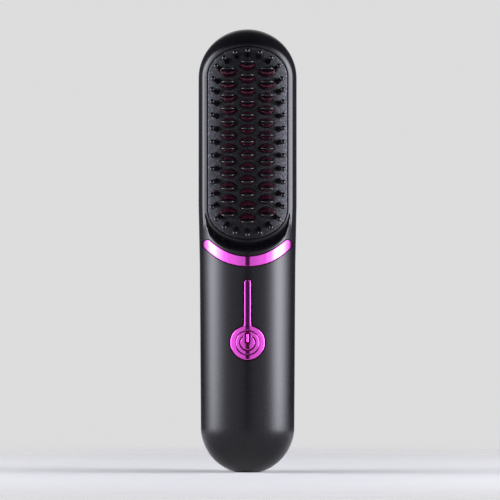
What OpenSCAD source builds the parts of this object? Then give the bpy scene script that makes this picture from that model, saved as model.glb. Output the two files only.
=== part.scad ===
// Cordless heated comb brush, standing on its tail with the comb facing -Y.
// Millimetres. The origin is the centre of the foot, X runs across and Z along the body.

/* [Body] */
// Overall length, foot to dome
body_len = 202; // [200:1:204]
// Radius of the head
head_r = 22.4; // [22.2:0.1:22.6]
// Radius of the handle just under the collar
neck_r = 21.85; // [21.7:0.05:22]
// Radius of the handle at the tail
tail_r = 21.35; // [21.2:0.05:21.5]
// Radius of the flat foot
foot_r = 6; // [5.5:0.5:7]
// Wall thickness of both shells
wall = 1.8; // [1.7:0.1:1.9]

/* [Comb] */
// Half width of the comb plate
comb_half_w = 18.1; // [17.9:0.1:18.3]
// Half length of the comb plate
comb_half_len = 44.1; // [43.9:0.1:44.3]
// Thickness of the comb plate
comb_t = 3; // [2.8:0.1:3.2]
// How far the comb face stands in front of the body's axis
face_front = 15.9; // [15.8:0.1:16]
// Radius of the convex comb face across its width
face_r = 35; // [34:0.5:36]
// Gap between the comb plate and the shell
comb_gap = 0.4; // [0.3:0.1:0.5]

/* [Teeth] */
// Distance from fin to fin along a column
fin_pitch = 5.74; // [5.6:0.02:5.8]
// Rows in the middle column
fin_rows = 13; // [9:2:13]
// Distance from column to column
column_gap = 8.65; // [8.5:0.05:8.7]
// Half width of a fin
fin_half_w = 3.75; // [3.6:0.05:3.8]
// Half thickness of a fin where it leaves the comb plate
fin_half_t = 2.1; // [1.8:0.1:2.1]
// Height of the bare fin above the comb plate
fin_h = 5.4; // [5:0.1:6]
// Height of the insulating cap on a fin
cap_h = 3.4; // [3.2:0.1:3.6]
// Height of a guard pin to the middle of its ball
pin_h = 7.8; // [7:0.2:8.4]
// Radius of the ball on a guard pin
ball_r = 1.12; // [1:0.02:1.2]

/* [Trim and button] */
// Height of the button's centre
button_z = 59.3; // [58.5:0.1:60]
// Radius of the button
button_r = 5.3; // [5:0.1:5.4]
// Outer radius of the trim ring
ring_r = 8.05; // [7.9:0.05:8.2]
// Half width of the trim stem
stem_half_w = 1.72; // [1.6:0.02:1.8]
// Height of the stem's upper end
stem_top_z = 87.6; // [86:0.2:88]
// Travel of the button
button_travel = 0.3; // [0.2:0.05:0.3]

/* [Battery] */
// Radius of one cell
cell_r = 9.15; // [9:0.05:9.2]
// Length of one cell
cell_len = 65.2; // [64.5:0.1:65.3]

/* [Hidden] */
$fn = 64;

// Finishes
charcoal = "#26252b";
textured_black = "#1b1a1f";
dark_red = "#6b1430";
gloss_black = "#0c0c0f";
magenta = "#c81ea0";
steel = "#b9bcc2";
brass = "#c9a24b";
board_green = "#1f6b45";
ceramic = "#e6e0d2";
amber = "#b9772c";
white_plastic = "#e9e9e6";

// Body
far = 60;
fuse = 0.4;
tail_z = sqrt(tail_r * tail_r - foot_r * foot_r);
dome_z = body_len - head_r;
comb_z = dome_z - 29.35;
neck_z = comb_z - 55.65;
shoulder_z = comb_z - 28.25;
cavity_r = head_r - wall;
seam_lip = 0.9;
seam_gap = 0.1;
lip_depth = 1.2;

// Convex comb face and the hollow that leads up to it
face_axis_y = face_r - face_front;
scoop_r = 24;
scoop_z = comb_z - 29.05;
scoop_axis_y = -33.5;

// Comb plate, an oval with elliptical ends
end_rise = 13.75;
comb_straight = comb_half_len - end_rise;
flange_t = 1.1;
flange_grow = 1.5;
tab_half_w = 10;
tab_low_z = comb_z - 51.75;
tab_high_z = comb_z - 42;
tab_t = 1.6;
comb_screw_x = 6.8;
comb_screw_z = comb_z - 48.6;

// Teeth
fan_per_mm = 0.385;
column_lean = 2;
slot_gap = 0.25;
fin_neck_t = 1;
cap_tip_t = 0.75;
cap_half_w = 3.4;
cap_gap = 0.05;
tenon = [3.4, 1, 1.5];
side_pins = 5;
end_pins = 3;
pin_pitch = 6.2;
pin_crowding = 0.0019;
pin_oval = [16.2, 13.6];
pin_oval_z = 28.5;
pin_end_step = 20.5;
pin_foot_x = 0.883;
pin_foot_z = 0.955;
pin_root_r = 1.25;
pin_neck_r = 0.62;

// Heater stack, counted by distance in front of the axis
plate_top = comb_t + 0.3;
plate_half_w = 12;
plate_half_len = 38.5;
plate_back_y = -8;
ear_half_w = 8;
ear_len = 43.5;
ear_front_y = -10.2;
post_x = 6;
post_z = 41.2;
post_r = 1.9;
post_half_len = 2.1;
tile_half_w = 8;
tile_len = 15;
tile_pitch = 16.2;
electrode_t = 0.35;
tile_t = 1.5;
electrode_a_y = plate_back_y + 0.05;
tile_y = electrode_a_y + electrode_t;
electrode_b_y = tile_y + tile_t;
insulator_y = electrode_b_y + electrode_t;
insulator_t = 0.4;
clamp_y = insulator_y + insulator_t;
clamp_t = 0.8;
clamp_half_w = 5;
clamp_half_len = 37.6;
lead_x = 9.15;
lead_y = -6.8;
lead_r = 0.7;
knuckle = 1.08;
plug_y = -12.4;
shield_y = -2.6;
shield_t = 1.4;
rail_x = 18;
felt_t = 3.5;

// Handle
cell_x = cell_r + 0.3;
cell_y = 3;
cell_z = 19;
cell_top_z = cell_z + cell_len;
tray_y = -7.9;
tray_t = 1.5;
board_t = 1.2;
board_y = -10.9;
board_half_w = 12;
board_low_z = 24;
board_high_z = 92;
board_screw_x = 9.6;
board_screw_zs = [27.5, 77.6];
boss_r = 2.7;
tail_boss = [11.5, 11.5];
collar_boss = [14.4, comb_z - 53.25];
head_seat_y = 9;
screw_head_r = 1.9;
screw_r = 1;
comb_seat_r = screw_head_r + 0.3;
comb_seat_y = face_y(comb_screw_x - comb_seat_r) + wall + 0.2 + tab_t;
rib_zs = [30, 51.6, 73];
rib_t = 1.6;
socket_half_w = 4.47;
socket_half_t = 1.63;
socket_len = 7.3;
port_gap = 0.25;

// Button stack
button_flange_r = 6.9;
button_flange_y = -18.2;
button_flange_t = 1;
button_stem_r = 2;
switch_half_w = 3;
switch_h = 3.5;
plunger_r = 1.7;
plunger_up = 1.2;
plunger_gap = 0.05;
trim_proud = 0.2;
trim_depth = 0.9;
pocket_depth = 1;
fillet_r = 1.5;
arc_half_w = 17.4;
arc_end_r = 3.2;
arc_mid_z = comb_z - 54.25;
arc_half_t = 2.35;

function lens_radius(w, t) = (w * w + t * t) / (2 * t);
function face_y(x) = face_axis_y - sqrt(face_r * face_r - x * x);

// Points round an oval with straight sides and elliptical ends
function oval(w, rise, straight) = concat(
    [for (t = [0 : 6 : 180]) [w * cos(t), straight + rise * sin(t)]],
    [for (t = [180 : 6 : 360]) [w * cos(t), -straight + rise * sin(t)]]);

// Places of fins, [across, along], from the middle of the comb
fin_half_rows = (fin_rows - 1) / 2;
fin_places = concat(
    [for (i = [-fin_half_rows : fin_half_rows]) [0, i * fin_pitch]],
    [for (side = [-1, 1], i = [-fin_half_rows : fin_half_rows - 1])
        [side * column_gap, (i + 0.5) * fin_pitch]]);

// Places of guard pin tips, [across, along], on an oval just inside the rim
pin_tips = concat(
    [for (side = [-1, 1], i = [-side_pins : side_pins])
        [side * pin_oval[0], i * pin_pitch * (1 - pin_crowding * i * i)]],
    [for (end = [-1, 1], j = [-end_pins : end_pins])
        [pin_oval[0] * sin(j * pin_end_step),
            end * (pin_oval_z + pin_oval[1] * cos(j * pin_end_step))]]);

// Edges of the arc trim seen from the front
function arc_low(x) = arc_mid_z - arc_half_t + 0.71 * (neck_r - sqrt(neck_r * neck_r - x * x));
function arc_high(x) = arc_mid_z + arc_half_t + 0.0469 * pow(abs(x), 1.8);
function arc_end_z(x) = (arc_low(x) + arc_high(x)) / 2;

// Shapes used by several pieces

module block(x, y, z) {
    translate([x[0], y[0], z[0]])
        cube([x[1] - x[0], y[1] - y[0], z[1] - z[0]]);
}

// Rod along Y
module rod_y(x, z, y, r) {
    translate([x, y[0], z])
        rotate([-90, 0, 0])
            cylinder(r = r, h = y[1] - y[0]);
}

// A flat outline in X and Z, drawn out from y[0] to y[1]
module prism_y(y) {
    translate([0, y[1], 0])
        rotate([90, 0, 0])
            linear_extrude(y[1] - y[0])
                children();
}

// A flat outline in Y and Z, drawn out from -half_w to half_w
module prism_x(half_w) {
    translate([-half_w, 0, 0])
        rotate([90, 0, 90])
            linear_extrude(2 * half_w)
                children();
}

module body_profile(inset) {
    intersection() {
        union() {
            translate([0, tail_z])
                circle(tail_r - inset);
            polygon([
                [0, tail_z],
                [tail_r - inset, tail_z],
                [neck_r - inset, neck_z],
                [head_r - inset, shoulder_z],
                [head_r - inset, dome_z],
                [0, dome_z]]);
            translate([0, dome_z])
                circle(head_r - inset);
        }
        translate([0, inset])
            square([2 * head_r, body_len + far]);
    }
}

// The whole body's outer form, drawn in by inset all round
module body_form(inset = 0) {
    rotate_extrude($fn = 96)
        body_profile(inset);
}

// A layer under the comb face, from depth d[0] to d[1] behind it
module face_layer(d) {
    translate([0, face_axis_y, comb_z - far])
        difference() {
            cylinder(r = face_r - d[0], h = 2 * far, $fn = 128);
            translate([0, 0, -1])
                cylinder(r = face_r - d[1], h = 2 * far + 2, $fn = 128);
        }
}

// What is open in front of the comb face and above the collar, with a wall of depth kept
module open_front(depth = 0) {
    intersection() {
        difference() {
            block([-far / 2, far / 2], [-far, 0], [comb_z - far, body_len + 5]);
            translate([0, face_axis_y, comb_z - far - 1])
                cylinder(r = face_r - depth, h = 2 * far + 20, $fn = 128);
        }
        prism_x(far / 2 + 1)
            union() {
                translate([scoop_axis_y, scoop_z])
                    circle(scoop_r + depth, $fn = 128);
                translate([-far - 1, scoop_z])
                    square([far + 1 + scoop_axis_y + scoop_r + depth, body_len]);
            }
    }
}

module comb_oval(grow, y) {
    prism_y(y)
        translate([0, comb_z])
            polygon(oval(comb_half_w + grow, end_rise + grow, comb_straight));
}

module lens(w, t) {
    lens_r = lens_radius(w, t);
    intersection() {
        translate([0, lens_r - t])
            circle(lens_r, $fn = 96);
        translate([0, t - lens_r])
            circle(lens_r, $fn = 96);
    }
}

// Stands its children on the comb face at place, leaning outwards with the fan of the teeth
module on_face(place) {
    translate([place[0], face_y(place[0]), comb_z + place[1]])
        rotate([-fan_per_mm * place[1], 0, sign(place[0]) * column_lean])
            children();
}

module wire(points, r) {
    for (i = [0 : len(points) - 2]) {
        run = points[i + 1] - points[i];
        translate(points[i])
            rotate([0, acos(run[2] / norm(run)), atan2(run[1], run[0])])
                cylinder(r = r, h = norm(run), $fn = 24);
    }
    for (i = [1 : 1 : len(points) - 2])
        translate(points[i])
            sphere(r * knuckle, $fn = 24);
}

// Head and shank of a screw driven towards -Y from its seat
module screw(x, z, seat_y, shank_len, head_h = 1.5) {
    difference() {
        union() {
            rod_y(x, z, [seat_y, seat_y + head_h], screw_head_r);
            rod_y(x, z, [seat_y - shank_len, seat_y + 0.1], screw_r);
        }
        for (turn = [0, 90])
            translate([x, seat_y + head_h, z])
                rotate([0, turn, 0])
                    cube([2.4, 1.4, 0.5], center = true);
    }
}

module at_both_sides(place) {
    for (side = [-1, 1])
        translate([side * place[0], 0, place[1]])
            children();
}

module keyhole_outline(grow = 0) {
    fillet_x = stem_half_w + fillet_r;
    reach = ring_r + fillet_r;
    fillet_rise = sqrt(reach * reach - fillet_x * fillet_x);
    bend = fillet_r - grow;
    sweep = atan(fillet_rise / fillet_x);
    corner = [for (i = [0 : 5])
        [fillet_x - bend * cos(i * sweep / 5), fillet_rise - bend * sin(i * sweep / 5)]];
    inside = 0.985 * corner[5];
    translate([0, button_z]) {
        circle(ring_r + grow);
        polygon(concat(
            [[0, 0], inside],
            [for (i = [4 : -1 : 0]) corner[i]],
            [for (t = [0 : 15 : 180])
                [(stem_half_w + grow) * cos(t),
                    stem_top_z - stem_half_w - button_z + (stem_half_w + grow) * sin(t)]],
            [for (i = [0 : 4]) [-corner[i][0], corner[i][1]]],
            [[-inside[0], inside[1]]]));
    }
}

// Points round the arc trim, with rounded ends
module arc_outline(grow = 0) {
    end_z = arc_end_z(arc_half_w);
    polygon(concat(
        [for (x = [-arc_half_w : 1.16 : arc_half_w + 0.01]) [x, arc_low(x) - grow]],
        [for (t = [-70 : 20 : 70])
            [arc_half_w + (arc_end_r + grow) * cos(t), end_z + (arc_end_r + grow) * sin(t)]],
        [for (x = [arc_half_w : -1.16 : -arc_half_w - 0.01]) [x, arc_high(x) + grow]],
        [for (t = [110 : 20 : 250])
            [-arc_half_w + (arc_end_r + grow) * cos(t), end_z + (arc_end_r + grow) * sin(t)]]));
}

module port_outline(grow) {
    for (side = [-1, 1])
        translate([side * (socket_half_w - socket_half_t), 0])
            circle(socket_half_t + grow, $fn = 32);
    square([2 * (socket_half_w - socket_half_t), 2 * (socket_half_t + grow)], center = true);
}

// Casing

module front_shell() {
    color(charcoal)
        difference() {
            union() {
                difference() {
                    intersection() {
                        body_form();
                        block([-far, far], [-far, 0], [-1, body_len + 1]);
                    }
                    open_front();
                    difference() {
                        body_form(wall);
                        open_front(wall);
                    }
                }
                difference() {
                    intersection() {
                        front_supports();
                        body_form(wall - fuse);
                    }
                    open_front(wall - fuse);
                }
            }
            comb_oval(comb_gap, [-far, -2]);
            // step that takes the rear shell's lip
            intersection() {
                difference() {
                    body_form(seam_lip - seam_gap);
                    body_form(wall + 0.01);
                }
                block([-far, far], [-lip_depth - seam_gap, 1], [-1, body_len + 1]);
            }
            front_holes();
        }
}

// Bosses, rails and ribs that grow out of the front shell's wall
module front_supports() {
    for (boss = [tail_boss, collar_boss])
        at_both_sides(boss)
            rod_y(0, 0, [-20, -seam_gap / 2], boss_r);
    for (side = [-1, 1]) {
        difference() {
            rod_y(side * comb_screw_x, comb_screw_z, [-20, face_y(comb_screw_x) + comb_t - 1], 2.3);
            translate([0, face_axis_y, comb_z - far])
                cylinder(r = face_r - wall - 0.15, h = far, $fn = 128);
        }
        mirror([side < 0 ? 1 : 0, 0, 0]) {
            block([rail_x, head_r], [shield_y - 1.5, shield_y - 0.05], [comb_z - 36, comb_z + 36]);
            for (z = rib_zs)
                block([13, tail_r], [-17, tray_y - 0.05], [z, z + rib_t]);
        }
    }
}

module front_holes() {
    for (boss = [tail_boss, collar_boss])
        at_both_sides(boss)
            rod_y(0, 0, [-6, 1], screw_r);
    at_both_sides([comb_screw_x, comb_screw_z])
        rod_y(0, 0, [-16.2, -10], 0.8);
    // seat for the keyhole trim and its two studs
    intersection() {
        prism_y([-far, -10])
            keyhole_outline(0.08);
        difference() {
            body_form(-1);
            body_form(pocket_depth);
        }
    }
    rod_y(0, button_z, [-far, -15], button_r + 0.3);
    for (z = [72, 84])
        rod_y(0, z, [-far, -15], 0.75);
    // seat for the arc trim and its three studs
    intersection() {
        prism_y([-far, -4])
            arc_outline(0.08);
        difference() {
            body_form(-1);
            body_form(pocket_depth);
        }
    }
    for (x = [-11, 0, 11])
        rod_y(x, arc_end_z(x), [-far, -10], 0.75);
    translate([0, 0, -1])
        linear_extrude(4)
            port_outline(port_gap);
}

module rear_shell() {
    color(charcoal)
        difference() {
            union() {
                difference() {
                    intersection() {
                        body_form();
                        block([-far, far], [0, far], [-1, body_len + 1]);
                    }
                    body_form(wall);
                }
                // lip that locates the front shell
                intersection() {
                    difference() {
                        body_form(seam_lip);
                        body_form(wall);
                    }
                    block([-far, far], [-lip_depth, fuse], [-1, body_len + 1]);
                }
                intersection() {
                    rear_supports();
                    body_form(wall - fuse);
                }
            }
            for (boss = [tail_boss, collar_boss])
                at_both_sides(boss) {
                    rod_y(0, 0, [head_seat_y, far], screw_head_r + 0.2);
                    rod_y(0, 0, [-1, head_seat_y + 1], screw_r + 0.15);
                }
            translate([0, 0, -1])
                linear_extrude(4)
                    port_outline(port_gap);
        }
}

// Bosses, cradle ribs and posts that grow out of the rear shell's wall
module rear_supports() {
    for (boss = [tail_boss, collar_boss])
        at_both_sides(boss)
            rod_y(0, 0, [seam_gap / 2, 20], boss_r + 1.1);
    difference() {
        for (z = rib_zs)
            block([-12, 12], [cell_y, tail_r], [z, z + rib_t]);
        cell_pair(0.1, cell_z - 1, cell_len + 2);
    }
    for (z = [comb_z - 28, comb_z + 28])
        at_both_sides([14.5, z])
            rod_y(0, 0, [shield_y + shield_t + 0.05, 20], 1.8);
}

module arc_trim() {
    color(magenta)
        union() {
            intersection() {
                prism_y([-far, -4])
                    arc_outline();
                difference() {
                    body_form(-trim_proud);
                    body_form(trim_depth);
                }
            }
            intersection() {
                for (x = [-11, 0, 11])
                    rod_y(x, arc_end_z(x), [-far, -10], 0.7);
                difference() {
                    body_form(0.2);
                    body_form(wall + 0.6);
                }
            }
        }
}

module keyhole_trim() {
    color(magenta)
        difference() {
            union() {
                intersection() {
                    prism_y([-far, -10])
                        keyhole_outline();
                    difference() {
                        body_form(-trim_proud);
                        body_form(trim_depth);
                    }
                }
                intersection() {
                    for (z = [72, 84])
                        rod_y(0, z, [-far, -15], 0.7);
                    difference() {
                        body_form(0.2);
                        body_form(wall + 0.6);
                    }
                }
            }
            rod_y(0, button_z, [-far, -15], button_r + 0.2);
        }
}

module power_button() {
    color(magenta)
        difference() {
            union() {
                intersection() {
                    body_form(-trim_proud);
                    rod_y(0, button_z, [-far, button_flange_y + 0.2], button_r);
                }
                rod_y(0, button_z, [button_flange_y, button_flange_y + button_flange_t],
                    button_flange_r);
                rod_y(0, button_z, [button_flange_y, board_y - switch_h - plunger_up - plunger_gap],
                    button_stem_r);
            }
            // engraved power symbol: a broken ring and a bar
            intersection() {
                prism_y([-far, -15])
                    power_symbol();
                difference() {
                    body_form(-1);
                    body_form(0.05);
                }
            }
        }
}

module power_symbol() {
    translate([0, button_z])
        difference() {
            circle(3.65);
            circle(3.05);
            translate([-1.5, 0])
                square([3, 6]);
        }
    translate([-0.4, button_z + 0.4])
        square([0.8, 3.9]);
}

// Comb and heater

module comb_plate() {
    color(textured_black)
        difference() {
            union() {
                intersection() {
                    comb_oval(0, [-far, -2]);
                    face_layer([0, comb_t]);
                }
                intersection() {
                    comb_oval(flange_grow, [-far, -2]);
                    face_layer([wall + 0.1, wall + 0.1 + flange_t]);
                    body_form(wall + 0.2);
                }
                intersection() {
                    block([-tab_half_w, tab_half_w], [-far, -2], [tab_low_z, tab_high_z]);
                    face_layer([wall + 0.2, wall + 0.2 + tab_t]);
                    body_form(wall + 0.2);
                }
                for (side = [-1, 1])
                    at_both_sides([post_x, comb_z + side * post_z])
                        rod_y(0, 0, [face_y(post_x) + comb_t - 1, ear_front_y], post_r);
                guard_pins();
            }
            for (place = fin_places)
                on_face(place)
                    prism_y([-2, comb_t + 3])
                        lens(fin_half_w + slot_gap, fin_half_t + slot_gap);
            for (side = [-1, 1])
                at_both_sides([post_x, comb_z + side * post_z])
                    rod_y(0, 0, [ear_front_y - 2, ear_front_y + 1], 0.8);
            at_both_sides([comb_screw_x, comb_screw_z]) {
                rod_y(0, 0, [-far, -2], screw_r + 0.15);
                rod_y(0, 0, [comb_seat_y, -2], comb_seat_r);
            }
        }
}

module guard_pins() {
    for (tip = pin_tips) {
        foot = [tip[0] * pin_foot_x, tip[1] * pin_foot_z];
        lean = tip - foot;
        translate([foot[0], face_y(foot[0]), comb_z + foot[1]])
            rotate([-atan(lean[1] / pin_h), 0, atan(lean[0] / pin_h)]) {
                translate([0, 1, 0])
                    rotate([90, 0, 0])
                        cylinder(r1 = pin_root_r, r2 = pin_neck_r, h = pin_h + 1, $fn = 24);
                translate([0, -pin_h, 0])
                    sphere(ball_r, $fn = 32);
            }
    }
}

// Side view of a tooth: upright in the slot, then drawn in towards its tip
module tooth_wedge(root) {
    prism_x(fin_half_w + 1)
        polygon([
            [root, -fin_half_t],
            [0, -fin_half_t],
            [-fin_h, -fin_neck_t],
            [-fin_h - cap_h, -cap_tip_t],
            [-fin_h - cap_h, cap_tip_t],
            [-fin_h, fin_neck_t],
            [0, fin_half_t],
            [root, fin_half_t]]);
}

module heater_plate() {
    color(dark_red)
        difference() {
            union() {
                intersection() {
                    block([-plate_half_w, plate_half_w], [-far, plate_back_y],
                        [comb_z - plate_half_len, comb_z + plate_half_len]);
                    face_layer([plate_top, face_r - 2]);
                }
                block([-ear_half_w, ear_half_w], [ear_front_y + 0.05, plate_back_y],
                    [comb_z - ear_len, comb_z + ear_len]);
                for (place = fin_places)
                    on_face(place)
                        heater_fin();
            }
            for (side = [-1, 1])
                at_both_sides([post_x, comb_z + side * post_z])
                    rod_y(0, 0, [-far, 0], screw_r + 0.15);
        }
}

module heater_fin() {
    intersection() {
        prism_y([-fin_h, plate_top + 1])
            lens(fin_half_w, fin_half_t);
        tooth_wedge(plate_top + 2);
    }
    block([-tenon[0] / 2, tenon[0] / 2], [-fin_h - tenon[2], 0], [-tenon[1] / 2, tenon[1] / 2]);
}

module fin_caps() {
    color(gloss_black)
        for (place = fin_places)
            on_face(place)
                difference() {
                    intersection() {
                        prism_y([-fin_h - cap_h - 1, -fin_h])
                            lens(cap_half_w, fin_half_t);
                        tooth_wedge(0);
                        translate([0, -fin_h, -3])
                            cylinder(r = cap_half_w, h = 6);
                    }
                    block([-tenon[0] / 2 - cap_gap, tenon[0] / 2 + cap_gap],
                        [-fin_h - tenon[2] - cap_gap, 0],
                        [-tenon[1] / 2 - cap_gap, tenon[1] / 2 + cap_gap]);
                }
}

module electrode_plates() {
    color(brass)
        for (y = [electrode_a_y, electrode_b_y]) {
            tab = y == electrode_a_y ? 1 : -1;
            block([-tile_half_w, tile_half_w], [y, y + electrode_t], [comb_z - 33, comb_z + 33]);
            block([min(0, tab * (tile_half_w + 0.4)), max(0, tab * (tile_half_w + 0.4))],
                [y, y + electrode_t], [comb_z - 13, comb_z - 9]);
        }
}

module heating_tiles() {
    color(ceramic)
        for (i = [-1.5 : 1 : 1.5])
            block([-tile_half_w + 0.3, tile_half_w - 0.3], [tile_y, tile_y + tile_t],
                [comb_z + i * tile_pitch - tile_len / 2, comb_z + i * tile_pitch + tile_len / 2]);
}

module heater_insulator() {
    color(ceramic)
        block([-tile_half_w + 0.1, tile_half_w - 0.1], [insulator_y, insulator_y + insulator_t],
            [comb_z - 36, comb_z + 36]);
}

// Sprung strip that presses the heating tiles against the heater plate
module heater_clamp() {
    foot_t = 0.8;
    color(steel)
        difference() {
            union() {
                block([-clamp_half_w, clamp_half_w], [clamp_y, clamp_y + clamp_t],
                    [comb_z - clamp_half_len, comb_z + clamp_half_len]);
                for (side = [-1, 1])
                    translate([0, 0, comb_z])
                        mirror([0, 0, side < 0 ? 1 : 0]) {
                            block([-clamp_half_w, clamp_half_w], [plate_back_y, clamp_y + clamp_t],
                                [clamp_half_len - 0.8, clamp_half_len]);
                            block([-ear_half_w, ear_half_w], [plate_back_y, plate_back_y + foot_t],
                                [clamp_half_len - 0.8, ear_len]);
                        }
            }
            for (side = [-1, 1])
                at_both_sides([post_x, comb_z + side * post_z])
                    rod_y(0, 0, [-far, 0], screw_r + 0.15);
        }
}

module heater_screws() {
    color(steel)
        for (side = [-1, 1], across = [-1, 1])
            screw(across * post_x, comb_z + side * post_z, plate_back_y + 0.8, 4.6);
}

module comb_screws() {
    color(steel)
        for (side = [-1, 1])
            screw(side * comb_screw_x, comb_screw_z, comb_seat_y, 4.2);
}

module thermistor() {
    color(amber)
        translate([10.9, plate_back_y + 0.75, comb_z + 8])
            cylinder(r = 0.7, h = 5, $fn = 32);
}

module thermal_fuse() {
    color(white_plastic)
        translate([-9.6, plate_back_y + 1.15, comb_z - 12])
            cylinder(r = 1.1, h = 10, $fn = 32);
}

module heat_shield() {
    color(textured_black)
        difference() {
            intersection() {
                block([-far, far], [shield_y, shield_y + shield_t], [comb_z - 43, comb_z + 38]);
                body_form(wall + 0.3);
            }
            // ways for the leads
            at_both_sides([17.5, comb_z - 43])
                rod_y(0, 0, [shield_y - 1, 1], 2);
        }
}

module insulating_felt() {
    color(white_plastic)
        block([-11, 11], [shield_y + shield_t + 0.05, shield_y + shield_t + felt_t],
            [comb_z - 38, comb_z + 36]);
}

// Handle

module cell_pair(grow, z, h) {
    for (side = [-1, 1])
        translate([side * cell_x, cell_y, z])
            cylinder(r = cell_r + grow, h = h);
}

module battery_cells() {
    color("#3b6fb0")
        cell_pair(0, cell_z, cell_len);
}

module cell_strips() {
    color(steel)
        for (z = [cell_z - 0.25, cell_top_z + 0.05])
            block([-13, 13], [cell_y - 3.5, cell_y + 3.5], [z, z + 0.2]);
}

module cell_tray() {
    color(white_plastic)
        difference() {
            union() {
                block([-15.2, 15.2], [tray_y, tray_y + tray_t], [cell_z - 2, board_high_z]);
                block([-12.5, 12.5], [tray_y, 8], [cell_z - 1.9, cell_z - 0.35]);
                block([-13, 13], [tray_y, 9], [cell_top_z + 0.35, cell_top_z + 1.3]);
                for (z = board_screw_zs)
                    at_both_sides([board_screw_x, z])
                        rod_y(0, 0, [board_y + board_t, tray_y + 0.2], 2.2);
            }
            for (z = board_screw_zs)
                at_both_sides([board_screw_x, z])
                    rod_y(0, 0, [board_y, tray_y + tray_t + 0.2], 0.8);
            // notch for the charging leads
            block([-5, 5], [tray_y - 1, tray_y + tray_t + 1], [cell_z - 3, cell_z - 0.4]);
        }
}

module protection_board() {
    z = cell_top_z + 1.4;
    color(board_green)
        block([-11, 11], [-5, 8], [z, z + 0.8]);
    color(gloss_black)
        for (x = [-4, 2])
            block([x, x + 3], [1, 5], [z + 0.8, z + 1.9]);
}

module main_board() {
    color(board_green)
        difference() {
            block([-board_half_w, board_half_w], [board_y, board_y + board_t],
                [board_low_z, board_high_z]);
            for (z = board_screw_zs)
                at_both_sides([board_screw_x, z])
                    rod_y(0, 0, [-far, 0], screw_r + 0.15);
        }
}

module board_screws() {
    color(steel)
        for (z = board_screw_zs, side = [-1, 1])
            mirror([0, 1, 0])
                screw(side * board_screw_x, z, -board_y, 3.6);
}

// A part soldered to the front of the main board
module on_board(x, z, h) {
    block(x, [board_y - h, board_y], z);
}

module control_chip() {
    color(gloss_black)
        on_board([-3.5, 3.5], [41, 48], 1.4);
}

module power_transistors() {
    color(gloss_black)
        for (x = [-10.9, 4.4])
            on_board([x, x + 6.5], [66.5, 72.5], 2.3);
}

module charge_coil() {
    color("#55565c")
        union() {
            on_board([-9, -3], [31, 37], 1);
            translate([-6, board_y - 1, 34])
                rotate([90, 0, 0])
                    cylinder(r = 2.8, h = 2.2);
        }
}

module wire_connectors() {
    color(white_plastic) {
        on_board([-10.6, -2.4], [84.5, 91], 4.6);
        on_board([2.4, 10.6], [84.5, 91], 4.6);
        on_board([-2.1, 2.1], [74.5, 79.5], 3.4);
        on_board([-4.6, 4.6], [25, 29.5], 3.4);
    }
}

module status_light() {
    color(white_plastic)
        on_board([-1.6, 1.6], [63.4, 65], 1.1);
}

module tact_switch() {
    color(gloss_black)
        difference() {
            on_board([-switch_half_w, switch_half_w],
                [button_z - switch_half_w, button_z + switch_half_w], switch_h);
            rod_y(0, button_z, [board_y - switch_h - 1, board_y - switch_h + 1.2],
                plunger_r + plunger_gap);
        }
}

module switch_plunger() {
    color(white_plastic)
        rod_y(0, button_z, [board_y - switch_h - plunger_up, board_y - switch_h + 0.7],
            plunger_r);
}

module charge_board() {
    color(board_green)
        union() {
            block([-7.2, 7.2], [socket_half_t + 0.05, socket_half_t + 1.05], [4.5, 15]);
            block([-2, 2], [socket_half_t + 1.05, socket_half_t + 2], [9, 13]);
        }
}

module charge_socket() {
    color(steel)
        translate([0, 0, 0.5])
            difference() {
                linear_extrude(socket_len)
                    port_outline(0);
                translate([0, 0, -1])
                    linear_extrude(socket_len - 0.3)
                        port_outline(-0.3);
            }
    color(gloss_black)
        block([-3.3, 3.3], [-0.35, 0.35], [1.3, socket_len]);
}

module shell_screws() {
    color(steel)
        for (boss = [tail_boss, collar_boss], side = [-1, 1])
            screw(side * boss[0], boss[1], head_seat_y, 14);
}

// Leads

module heater_leads() {
    turn_z = comb_z - 46.2;
    color("#8b1a1a")
        wire([[lead_x, lead_y, comb_z - 11], [lead_x, lead_y, turn_z],
            [-4.8, -8.8, comb_z - 52.4], [-4.8, plug_y, 94.5], [-4.8, plug_y, 91]], lead_r);
    color(gloss_black) {
        wire([[-lead_x, lead_y, comb_z - 12], [-lead_x, lead_y, comb_z - 51.5],
            [-8.2, plug_y, 94.5], [-8.2, plug_y, 91]], lead_r);
        wire([[-lead_x, lead_y, comb_z - 2], [-lead_x, lead_y, comb_z]], lead_r);
    }
}

module sensor_lead() {
    y = plate_back_y + 0.75;
    color(white_plastic)
        wire([[10.9, y, comb_z + 8], [10.9, y, comb_z - 46.7], [10.9, plug_y - 1.4, 97.5],
            [0.8, plug_y - 1.4, 93.5], [0.8, plug_y - 1.4, 79.5]], 0.45);
}

module battery_leads() {
    z = cell_top_z + 2.2;
    for (x = [5, 8.2])
        color(x == 5 ? "#8b1a1a" : gloss_black)
            wire([[x, -3.6, z], [x, -3.6, 94.4], [x, plug_y, 94.4], [x, plug_y, 91]], lead_r);
}

module charge_leads() {
    for (side = [-1, 1])
        color(side < 0 ? gloss_black : "#8b1a1a")
            wire([[side * 3, 1, 13], [side * 3, 1, 15.6], [side * 3, plug_y, 15.6],
                [side * 3, plug_y, 25]], 0.6);
}

front_shell();
rear_shell();
comb_plate();
heater_plate();
fin_caps();
electrode_plates();
heating_tiles();
heater_insulator();
heater_clamp();
heater_screws();
comb_screws();
thermistor();
thermal_fuse();
heat_shield();
insulating_felt();
arc_trim();
keyhole_trim();
power_button();
tact_switch();
switch_plunger();
main_board();
control_chip();
power_transistors();
charge_coil();
wire_connectors();
status_light();
board_screws();
battery_cells();
cell_strips();
protection_board();
cell_tray();
charge_board();
charge_socket();
shell_screws();
heater_leads();
sensor_lead();
battery_leads();
charge_leads();
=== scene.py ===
import math

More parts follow.
